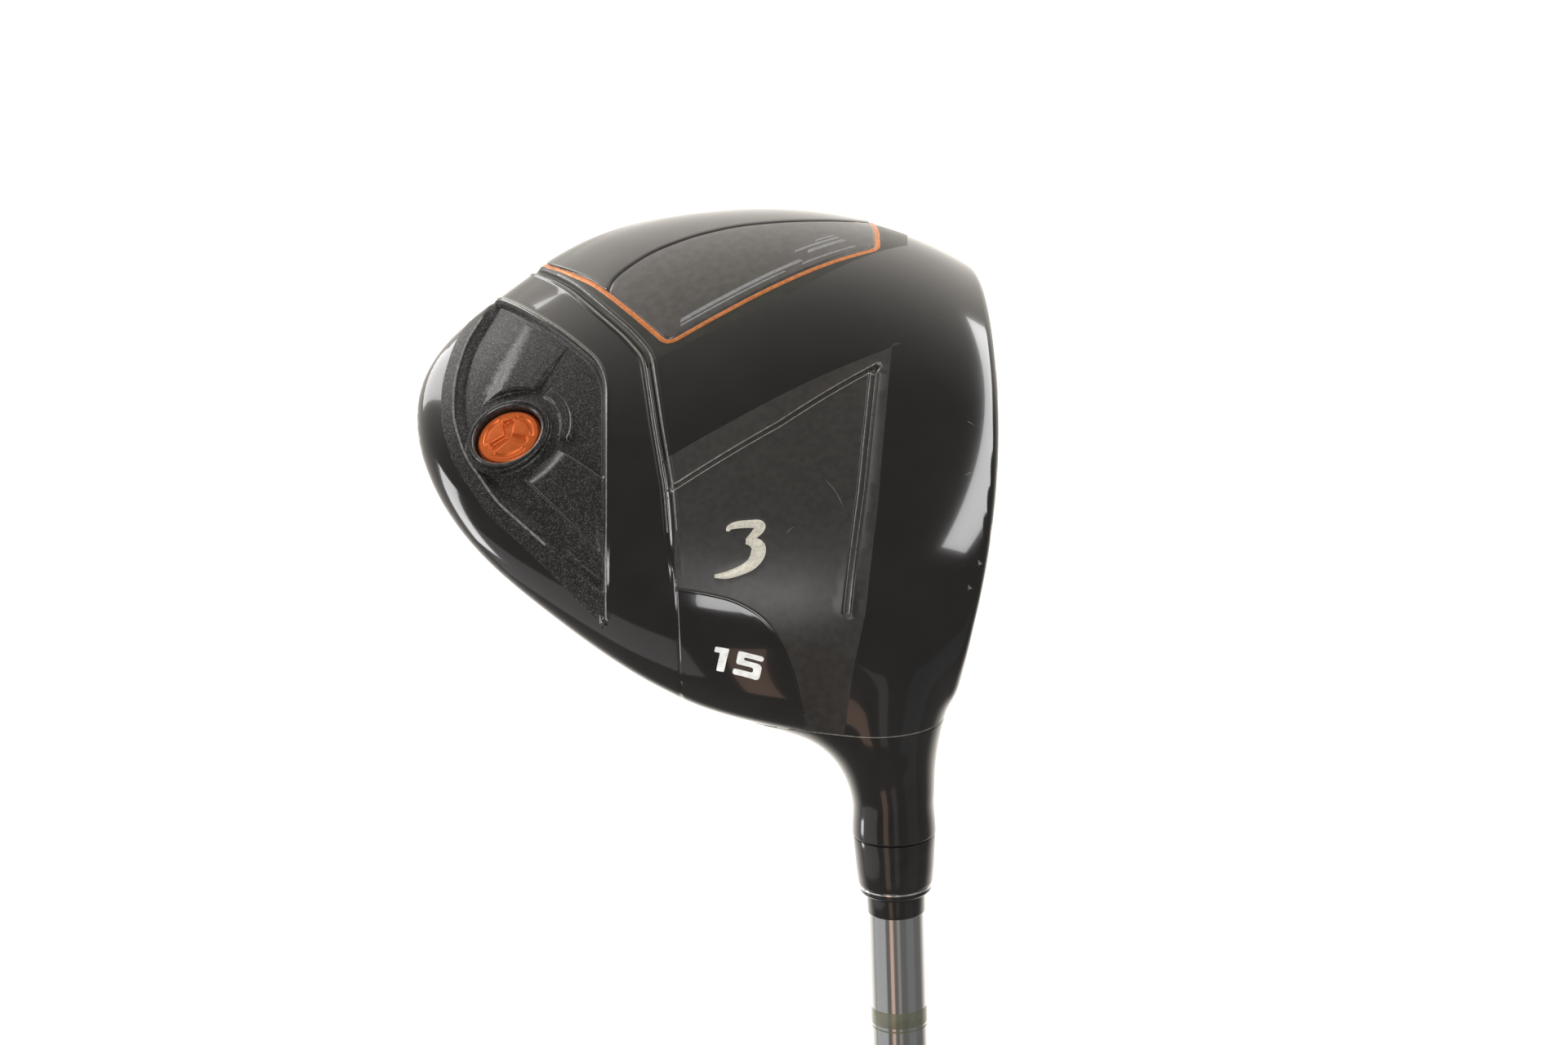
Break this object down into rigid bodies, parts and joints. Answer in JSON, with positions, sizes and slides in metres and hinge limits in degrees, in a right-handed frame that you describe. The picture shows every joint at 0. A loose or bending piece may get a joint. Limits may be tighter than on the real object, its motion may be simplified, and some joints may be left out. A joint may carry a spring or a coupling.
{
  "type": "fairway wood",
  "caption": "Right-handed fairway wood: hollow head with cup face, crown and sole shells, a removable sole weight, ferrule, hollow tapered shaft and rubber grip.",
  "frame": {"origin": "centre of the grip cap's end face, at the mouth of the vent hole", "axes": "+Z along the shaft from the grip to the head; +X the target direction, the way the face looks; +Y completes the frame, so the sole faces up and towards -Y"},
  "size_m": [0.0901, 0.0883, 1.1221],
  "materials": {
    "black_casting": "gloss black paint over cast steel",
    "crown_paint": "gloss black clear-coated paint",
    "face_steel": "dark brushed steel",
    "raw_steel": "bare steel",
    "badge_film": "satin black paint",
    "orange_paint": "metallic orange",
    "port_black": "satin dark metallic",
    "washer_rubber": "matte",
    "orange_anodised": "orange anodised",
    "ferrule_black": "polished black",
    "bright_ring": "polished",
    "cork_plug": "cork",
    "shaft_silver": "silver foil under gloss lacquer, on carbon fibre",
    "brass": "turned",
    "tape": "paper tape",
    "grip_rubber": "moulded, fine pattern"
  },
  "bodies": {
    "club": {"sole_body": "black_casting", "crown": "crown_paint", "face_cup": "face_steel", "hosel": "black_casting", "sole_pad": "raw_steel", "toe_badge": "badge_film", "toe_trim": "orange_paint", "weight_port": "port_black", "ferrule": "ferrule_black", "ferrule_ring": "bright_ring", "tip_collar": "ferrule_black", "tip_plug": "cork_plug", "shaft": "shaft_silver", "butt_weight": "brass", "grip_tape": "tape", "grip": "grip_rubber", "grip_cap": "grip_rubber"},
    "weight_washer": {"weight_washer": "washer_rubber"},
    "weight_screw": {"weight_screw": "orange_anodised"}
  },
  "joints": [
    {"name": "weight_lift", "type": "slide", "parent": "club", "child": "weight_washer", "axis": [-0.2756, -0.5023, 0.8196], "range_m": [0, 0.006]},
    {"name": "weight_turn", "type": "hinge", "parent": "weight_washer", "child": "weight_screw", "pos_m": [-0.0575, 0.02957, 1.09829], "axis": [-0.2756, -0.5023, 0.8196], "range_deg": [0, 2160]}
  ],
  "couplings": [
    {"joint": "weight_turn", "follows": "weight_lift", "rad_per_m": 6283.2}
  ]
}
